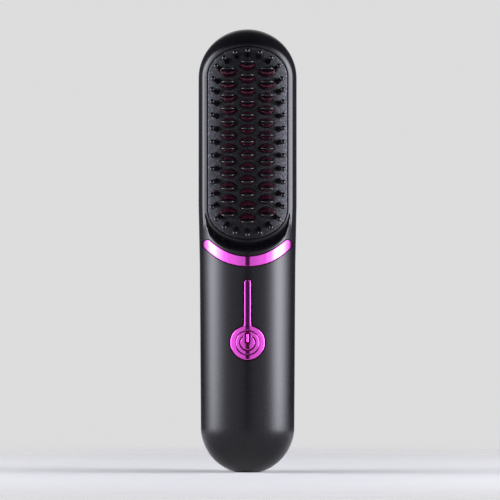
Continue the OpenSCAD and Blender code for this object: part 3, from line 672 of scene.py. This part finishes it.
def on_face(points, place):
    """Points of a tooth, drawn round the origin and towards -Y, stood on the comb face at a place."""
    x, dz = place
    at = np.array([x, float(face_y(np.array(x))), COMB_Z + dz])
    return turn(points, -FAN * dz, np.sign(x) * COLUMN_LEAN) + at


def slots(x, z):
    """Distance outside the nearest slot that a fin passes through."""
    best = np.full(np.shape(x), 99.0)
    for fin_x, fin_z in fin_places:
        best = np.minimum(best, lens_sdf(x - fin_x, z - COMB_Z - fin_z, FIN_W + SLOT_W, FIN_T + SLOT_T))
    return best


def plate_point(x, z):
    return np.stack([x, face_y(x), z], -1)


def plate_inner(points):
    return points + np.array([0, COMB_T, 0])


gx, gz = np.meshgrid(steps((-18.6, 18.6, 0.42)), COMB_Z + steps((-44.6, 44.6, 0.42)))
points = plate_point(gx, gz)
plate_edge = (lambda x, z: -oval_sdf(x, z, COMB_W - PLATE_IN, END_RISE - PLATE_IN),
              round_edge(0.22) + [(0.22, 1.9), (1.7, 1.9), (1.7, COMB_T)])
slot_edge = (slots, round_edge(0.12, 2) + [(0.12, 1.6)])
comb = Build()
cut_sheet(comb, points, (gx, gz), plate_point, [plate_edge, slot_edge], plate_inner)


def add_pin(build, tip):
    """One guard pin: a tapered shaft with a flared root and a ball on its end."""
    foot = np.array([tip[0] * PIN_FOOT_X, tip[1] * PIN_FOOT_Z])
    lean = np.array(tip) - foot
    profile = []
    for s in (-0.9, 0.0, 0.1, 0.25, 0.5, 1.0, 2.2, 4.2, 6.2):
        r = PIN_ROOT_R - PIN_TAPER * (s + 1) / (PIN_H + 1) + PIN_FLARE * math.exp(-max(s, 0) / 0.2)
        profile.append((r, s))
    neck = math.asin(PIN_NECK_R / BALL_R)
    profile.append((0.95, PIN_H - BALL_R * math.cos(neck) - 0.15))
    for a in np.linspace(neck, math.pi, 11):
        profile.append((BALL_R * math.sin(a), PIN_H - BALL_R * math.cos(a)))
    rings = []
    for r, s in profile[:-1]:
        t = np.linspace(0, 2 * math.pi, 20, endpoint=False)
        rings.append(np.stack([r * np.cos(t), np.full_like(t, -s), r * np.sin(t)], -1))
    rings = np.array(rings)
    tilt, swing = -math.degrees(math.atan(lean[1] / PIN_H)), math.degrees(math.atan(lean[0] / PIN_H))
    at = np.array([foot[0], float(face_y(foot[0])), COMB_Z + foot[1]])
    ids = build.grid(turn(rings, tilt, swing) + at, close_u=True)
    end = turn(np.array([0.0, -PIN_H - BALL_R, 0.0]), tilt, swing) + at
    build.fan(ids[-1], end)
    build.fan(ids[0][::-1], turn(np.array([0.0, 0.9, 0.0]), tilt, swing) + at)


# The two uppermost pins of each side stand a little inward and lower, as the upper row does
pin_tips = [(side * (PIN_OVAL[0] - 0.14 * max(i - 3, 0) ** 2),
             i * PIN_PITCH * (1 - PIN_CROWDING * i * i) - 0.3 * max(i - 3, 0) ** 1.5)
            for side in (-1, 1) for i in range(-SIDE_PINS, SIDE_PINS + 1)]
for end, rise, lower in ((-1, PIN_OVAL[1], 0.0), (1, PIN_OVAL[1] - 0.6, 0.25)):
    for j in range(-END_PINS, END_PINS + 1):
        a = math.radians(j * PIN_STEP)
        pin_tips.append((PIN_OVAL[0] * math.sin(a), end * (PIN_OVAL_Z + rise * math.cos(a)) - lower))
pins = Build()
for tip in pin_tips:
    add_pin(pins, tip)
pin_set = pins.make("guard_pins", PIN_BLACK, smooth_angle=60)
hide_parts("comb_plate")
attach(pin_set, "body")
comb_plate = comb.make("comb_plate_skin", PLATE, smooth_angle=42)
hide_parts("comb_plate")
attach(comb_plate, "body")


def lens_ring(w, t, y, count=16):
    """Points round a pointed oval 2w by 2t at height y, closer together towards its ends."""
    r = (w * w + t * t) / (2 * t)
    a = np.linspace(0, math.pi, count + 1)
    x = w * np.cos(a)
    z = np.sqrt(np.clip(r * r - x * x, 0, None)) - (r - t)
    z = np.clip(z, 0.0, None)
    z[0] = z[-1] = 0.0
    upper = np.stack([x, np.full_like(x, y), z], -1)
    lower = np.stack([-x, np.full_like(x, y), -z], -1)
    return np.concatenate([upper[:-1], lower[:-1]])


fins = Build()
for place in fin_places:
    sections = [lens_ring(w, t, -h) for h, w, t in FIN_SECTIONS]
    ids = fins.grid(on_face(np.array(sections), place), close_u=True)
    fins.fan(ids[-1], on_face(np.array([0, -FIN_H, 0.0]), place))
    fins.fan(ids[0][::-1], on_face(np.array([0, 3.4, 0.0]), place))
# Slab under the comb plate, which carries the fins
slab_x = steps((-SLAB_W, SLAB_W, 1.5))
slab_z = COMB_Z + steps((-SLAB_LEN, SLAB_LEN, 3.5))
sx, sz = np.meshgrid(slab_x, slab_z)
top = np.stack([sx, face_y(sx) + COMB_T + SLAB_GAP, sz], -1)
bottom = top.copy()
bottom[..., 1] = SLAB_BACK
top_ids, low_ids = fins.grid(top), fins.grid(bottom[:, ::-1])[:, ::-1]
rim = [(0, j) for j in range(len(slab_x))]
rim += [(i, -1) for i in range(1, len(slab_z))]
rim += [(-1, j) for j in range(len(slab_x) - 2, -1, -1)]
rim += [(i, 0) for i in range(len(slab_z) - 2, 0, -1)]
for a, b in zip(rim, rim[1:] + rim[:1]):
    fins.face(top_ids[b], top_ids[a], low_ids[a], low_ids[b])
heater = fins.make("heater_fins", FIN_RED, smooth_angle=50)
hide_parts("heater_plate")
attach(heater, "body")


def add_cap(build, place):
    """One cap: an arched blade, lens-shaped in plan, with a softly rounded crest."""
    around, up = 28, 11
    rings = []
    for i in range(up + 1):
        a = i / (up + 1) * math.pi / 2
        w = CAP_W * math.cos(a) ** 0.92
        h = FIN_H + CAP_H * math.sin(a)
        t = (FIN_NECK + (CAP_TIP - FIN_NECK) * math.sin(a)) * math.cos(a) ** 0.42
        b = np.linspace(0, 2 * math.pi, around, endpoint=False)
        x = w * np.sign(np.cos(b)) * np.abs(np.cos(b)) ** 0.95
        z = t * np.sign(np.sin(b)) * np.abs(np.sin(b)) ** 1.05
        rings.append(np.stack([x, np.full_like(x, -h), z], -1))
    ids = build.grid(on_face(np.array(rings), place), close_u=True)
    build.fan(ids[-1], on_face(np.array([0, -FIN_H - CAP_H, 0.0]), place))
    build.fan(ids[0][::-1], on_face(np.array([0, -FIN_H, 0.0]), place))


caps = Build()
for place in fin_places:
    add_cap(caps, place)
cap_set = caps.make("cap_set", CAP_BLACK, smooth_angle=60)
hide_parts("fin_caps")
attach(cap_set, "body")


# Trims and button

def on_body(x, z, height):
    """Point at a height over the front of the body, seen at x, z."""
    r = body_radius(z) + height
    return np.stack([x, -np.sqrt(np.clip(r * r - x * x, 0, None)), z], -1)


def trim_point(x, z):
    return on_body(x, z, PROUD)


def trim_inner(points):
    """Inside points of a trim, straight towards the axis."""
    moved = points.copy()
    r = np.hypot(points[..., 0], points[..., 1])
    moved[..., :2] *= ((r - TRIM_T) / r)[..., None]
    return moved


def sunk_point(x, z):
    return on_body(x, z, -RIM_SUNK)


def sunk_inner(points):
    return points + np.array([0, RIM_T, 0])


def add_trim(name, node, span_x, span_z, form, face, rim, soft, holes):
    """A bright face where form is below face, rounded by soft, and a dark rim sunk round it, coloured
    darker than the recesses as painted shade in the groove.

    The rim reaches out to where form is rim, and in under the face by RIM_UNDER."""
    edge = round_edge(soft, 4) + [(soft, TRIM_T)]
    gx, gz = np.meshgrid(steps((*span_x, 0.28)), steps((*span_z, 0.28)))
    trim = Build()
    cut_sheet(trim, trim_point(gx, gz), (gx, gz), trim_point,
              [(lambda x, z: face - soft - form(x, z), edge)] + [(hole, edge) for hole in holes],
              trim_inner)
    bright = trim.make(name + "_skin", MAGENTA, smooth_angle=50)
    gx, gz = np.meshgrid(steps((*span_x, 0.2)), steps((*span_z, 0.2)))
    low = Build()
    cut_sheet(low, sunk_point(gx, gz), (gx, gz), sunk_point,
              [(lambda x, z: rim - form(x, z), [(0.0, RIM_T)]),
               (lambda x, z: form(x, z) - face + RIM_UNDER, [(0.0, RIM_T)])], sunk_inner)
    # the rim's dark colour is painted shade for the groove round the bright face
    dark = low.make(name + "_rim", RIM_SHADE)
    for obj in (bright, dark):
        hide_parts(node)
        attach(obj, "body")


add_trim("arc_trim", "arc_trim", (-20.8, 20.8), (93.4, 106.6), arc_sdf, 0.0, 0.36, 0.15, [])
add_trim("keyhole_trim", "keyhole_trim", (-8.4, 8.4), (50.9, 88.9), keyhole_sdf, -0.3, 0.1, 0.25,
         [lambda x, z: np.hypot(x, z - BUTTON_Z) - HOLE_R - 0.4])


SYMBOL_R, SYMBOL_LINE, SYMBOL_GAP, SYMBOL_BAR = 3.48, 0.38, 1.8, 1.42
BAR_LOW, BAR_HIGH, BAR_R, SINK = 0.5, 3.7, 0.55, 0.4


def symbol_sdf(x, z):
    """Distance outside the lines of a plain power symbol: a broken ring and a bar's outline."""
    r = np.hypot(x, z - BUTTON_Z)
    ring = np.abs(r - SYMBOL_R) - SYMBOL_LINE
    gap = np.maximum(np.abs(x) - SYMBOL_GAP, BUTTON_Z - z)
    ring = np.maximum(ring, -gap)
    bar = np.hypot(x, z - np.clip(z, BUTTON_Z + BAR_LOW, BUTTON_Z + BAR_HIGH)) - SYMBOL_BAR
    return np.minimum(ring, bar)


def line_floor(x, z):
    return trim_point(x, z) + np.array([0, SINK, 0])


gx, gz = np.meshgrid(steps((-5.5, 5.5, 0.2)), BUTTON_Z + steps((-5.5, 5.5, 0.2)))
disc_edge = (lambda x, z: BUTTON_R - 0.25 - np.hypot(x, z - BUTTON_Z),
             round_edge(0.25, 4) + [(0.25, 2.0)])
line_edge = (symbol_sdf, round_edge(0.1, 2) + [(0.12, SINK + 0.1)])
button = Build()
cut_sheet(button, trim_point(gx, gz), (gx, gz), trim_point, [disc_edge, line_edge],
          lambda p: p + np.array([0, 2.0, 0]))
# Raised bar of the symbol
bar_rows = []
for i in range(7):
    a = i / 7 * math.pi / 2
    w, lift = BAR_R * math.cos(a), -SINK - 0.1 + (SINK + 0.08) * math.sin(a)
    b = np.linspace(0, 2 * math.pi, 28, endpoint=False)
    x = w * np.cos(b)
    middle = np.where(np.sin(b) > 0, BAR_HIGH - 0.1, BAR_LOW + 0.1)
    z = BUTTON_Z + middle + w * np.sin(b)
    bar_rows.append(on_body(x, z, PROUD + lift))
ids = button.grid(np.array(bar_rows), close_u=True)
button.face(*ids[-1])
button.face(*ids[0][::-1])
# Collar and stem behind the button's cap
profile = [(4.9, -18.4), (4.9, -18.2), (6.75, -18.2), (6.9, -18.05), (6.9, -17.35), (6.75, -17.2),
           (2.1, -17.2), (2.0, -17.1), (2.0, -15.75), (1.9, -15.65)]
rings = []
for r, y in profile:
    t = np.linspace(0, 2 * math.pi, 48, endpoint=False)
    rings.append(np.stack([r * np.cos(t), np.full_like(t, y), BUTTON_Z + r * np.sin(t)], -1))
ids = button.grid(np.array(rings), close_u=True)
button.face(*ids[-1])
button.face(*ids[0][::-1])
power_button = button.make("power_button_skin", MAGENTA, smooth_angle=45)
# Floor of the sunk lines, coloured dark maroon as painted shade in the recesses
lines = Build()
floor_edge = (lambda x, z: -(symbol_sdf(x, z) - 0.14), [(0.0, 0.3)])
cut_sheet(lines, line_floor(gx, gz), (gx, gz), line_floor, [floor_edge],
          lambda p: p + np.array([0, 0.5, 0]))
symbol_floor = lines.make("symbol_floor", RECESS_SHADE)
for obj in (power_button, symbol_floor):
    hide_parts("power_button")
    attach(obj, "button")


# Studio

LAMP_TINT = (0.94, 0.94, 1.06)


def panel(name, azimuth, distance, half, z_range, profile, rise):
    """A soft panel beside the part that faces its axis; azimuth 0 is behind the camera.

    distance is in metres, and half is half the angle that the panel fills, in degrees.
    profile lists (degrees from the front, radiance) pairs across the panel, and rise lists
    (height, share) pairs up it."""
    side = math.copysign(1, azimuth)
    width = 2 * distance * math.tan(math.radians(half))
    low, high = z_range
    data = bpy.data.lights.new(name, "AREA")
    data.shape = "RECTANGLE"
    data.size, data.size_y = width, high - low
    data.energy = math.pi * width * (high - low)
    data.use_nodes = True
    nodes, links = data.node_tree.nodes, data.node_tree.links
    split = nodes.new("ShaderNodeSeparateXYZ")
    links.new(nodes.new("ShaderNodeNewGeometry").outputs["Parametric"], split.inputs["Vector"])
    peak = max(level for _, level in profile)
    stops = []
    for degrees, level in profile:
        across = math.tan(math.radians(degrees - abs(azimuth))) / math.tan(math.radians(half))
        shade = level / peak
        stops.append((0.5 + side * across / 2, tuple(shade * part for part in LAMP_TINT)))
    stops.sort()
    across = ramp_node(nodes, links, split.outputs["X"], stops)
    ends = ramp_node(nodes, links, split.outputs["Y"],
                     [((z - low) / (high - low), (share, share, share)) for z, share in rise])
    both = nodes.new("ShaderNodeMix")
    both.data_type = "RGBA"
    both.blend_type = "MULTIPLY"
    both.inputs["Factor"].default_value = 1.0
    links.new(across.outputs["Color"], both.inputs["A"])
    links.new(ends.outputs["Color"], both.inputs["B"])
    emission = nodes["Emission"]
    links.new(both.outputs["Result"], emission.inputs["Color"])
    emission.inputs["Strength"].default_value = peak
    light = bpy.data.objects.new(name, data)
    a = math.radians(azimuth)
    light.location = (distance * math.sin(a), -distance * math.cos(a), (low + high) / 2)
    aim = Vector((0, 0, light.location[2])) - light.location
    light.rotation_euler = aim.to_track_quat("-Z", "Y").to_euler()
    light.visible_camera = False
    bpy.context.scene.collection.objects.link(light)


panel("left_panel", -90, 0.62, 40, (-0.26, 0.6),
      [(50, 1.0), (57, 2.1), (64, 3.6), (73, 6.6), (82, 10.4), (91, 12.3), (98, 10.4), (105, 6.3),
       (110, 3.2), (116, 1.6), (122, 0.9), (128, 0.2)],
      [(-0.26, 0), (-0.13, 0.64), (0.03, 0.64), (0.1, 0.86), (0.17, 1), (0.33, 1), (0.6, 0)])
panel("right_panel", 84, 0.62, 38, (-0.26, 0.6),
      [(50, 1.0), (57, 3.0), (64, 6.7), (72, 12.0), (80, 14.3), (88, 12.0), (95, 7.6), (102, 4.5),
       (108, 2.4), (114, 1.2), (121, 0.4)],
      [(-0.26, 0), (-0.13, 0.84), (0.03, 0.84), (0.1, 1), (0.33, 1), (0.6, 0)])
for side in (-1, 1):
    panel("front_panel", side * 28.5, 1.5, 23.5, (-0.35, 1.0),
          [(5, 0.58), (20, 0.72), (30, 0.86), (52, 1.0)], [(-0.35, 0), (-0.16, 1), (0.46, 1), (1.0, 0)])

# Dark studio behind the camera, which no camera ray sees
wall = Build()
t = np.radians(np.linspace(-166, 166, 49))
wall.grid(np.array([np.stack([3200 * np.sin(t), -3200 * np.cos(t), np.full_like(t, z)], -1)
                    for z in (-1500, 4000)]))
wall_mat, nodes, links, shader, where = new_material("wall_black")
shader.inputs["Base Color"].default_value = (0.01, 0.01, 0.01, 1)
shader.inputs["Roughness"].default_value = 1.0
shader.inputs["Specular IOR Level"].default_value = 0.0
shader.inputs["Emission Color"].default_value = (1, 1, 1, 1)
shader.inputs["Emission Strength"].default_value = 0.05
wall_obj = wall.make("studio_wall", wall_mat, merge=False)
wall_obj.visible_camera = False
wall_obj.visible_diffuse = False
wall_obj.visible_shadow = False

# Pale floor, which fades into the pale background
PALE = 0.72
FLOOR_R, FADE_R = 0.36, 0.12
floor = Build()
t = np.linspace(0, 2 * math.pi, 96, endpoint=False)
rings = np.array([np.stack([r * np.cos(t), r * np.sin(t), t * 0], -1) * 1000
                  for r in (FLOOR_R, 0.3, 0.2, 0.1, 0.03)])
ids = floor.grid(rings, close_u=True)
floor.face(*ids[-1])
floor_mat, nodes, links, shader, where = new_material("floor")
shader.inputs["Base Color"].default_value = (0.8, 0.8, 0.77, 1)
shader.inputs["Roughness"].default_value = 0.9
shader.inputs["Specular IOR Level"].default_value = 0.1
clear = nodes.new("ShaderNodeBsdfTransparent")
blend = nodes.new("ShaderNodeMixShader")
length = nodes.new("ShaderNodeVectorMath")
length.operation = "LENGTH"
links.new(where.outputs["Object"], length.inputs[0])
fade = nodes.new("ShaderNodeMapRange")
fade.interpolation_type = "SMOOTHSTEP"
fade.inputs["From Min"].default_value = FADE_R
fade.inputs["From Max"].default_value = FLOOR_R - 0.01
links.new(length.outputs["Value"], fade.inputs["Value"])
links.new(fade.outputs["Result"], blend.inputs["Fac"])
links.new(shader.outputs["BSDF"], blend.inputs[1])
links.new(clear.outputs["BSDF"], blend.inputs[2])
links.new(blend.outputs["Shader"], nodes["Material Output"].inputs["Surface"])
floor_obj = floor.make("floor", floor_mat, merge=False)

# World, pale up to a little over the horizon and dark above
world = bpy.data.worlds.new("studio")
bpy.context.scene.world = world
world.use_nodes = True
nodes, links = world.node_tree.nodes, world.node_tree.links
background = nodes["Background"]
where = nodes.new("ShaderNodeTexCoord")
split = nodes.new("ShaderNodeSeparateXYZ")
links.new(where.outputs["Generated"], split.inputs["Vector"])
sky = ramp_node(nodes, links, split.outputs["Z"],
                [(0.0, (PALE, PALE, PALE * 1.01)), (0.35, (PALE, PALE, PALE * 1.01)),
                 (0.62, (0.06, 0.06, 0.065))])
links.new(sky.outputs["Color"], background.inputs["Color"])
# seen in full by the camera, in gloss and through glass, and at half strength as light
path = nodes.new("ShaderNodeLightPath")
direct = nodes.new("ShaderNodeMath")
direct.operation = "MAXIMUM"
links.new(path.outputs["Is Camera Ray"], direct.inputs[0])
links.new(path.outputs["Is Glossy Ray"], direct.inputs[1])
seen = nodes.new("ShaderNodeMath")
seen.operation = "MAXIMUM"
links.new(direct.outputs[0], seen.inputs[0])
links.new(path.outputs["Is Transmission Ray"], seen.inputs[1])
level = nodes.new("ShaderNodeMapRange")
level.inputs["To Min"].default_value = 0.5
level.inputs["To Max"].default_value = 1.0
links.new(seen.outputs[0], level.inputs["Value"])
links.new(level.outputs["Result"], background.inputs["Strength"])

# Camera
scene = bpy.context.scene
scene.view_settings.view_transform = "Standard"
camera_data = bpy.data.cameras.new("camera")
camera = bpy.data.objects.new("camera", camera_data)
scene.collection.objects.link(camera)
scene.camera = camera
# metres: the camera's distance, place across and height, and the width that it sees at the axis
CAMERA_FAR, CAMERA_X, CAMERA_Z, VIEW_WIDTH = 2.4, 0.0011, 0.10125, 0.22835
camera_data.sensor_width = 36
camera_data.lens = camera_data.sensor_width * CAMERA_FAR / VIEW_WIDTH
camera_data.clip_end = 20
camera.location = (CAMERA_X, -CAMERA_FAR, CAMERA_Z)
camera.rotation_euler = (math.radians(90), 0, 0)
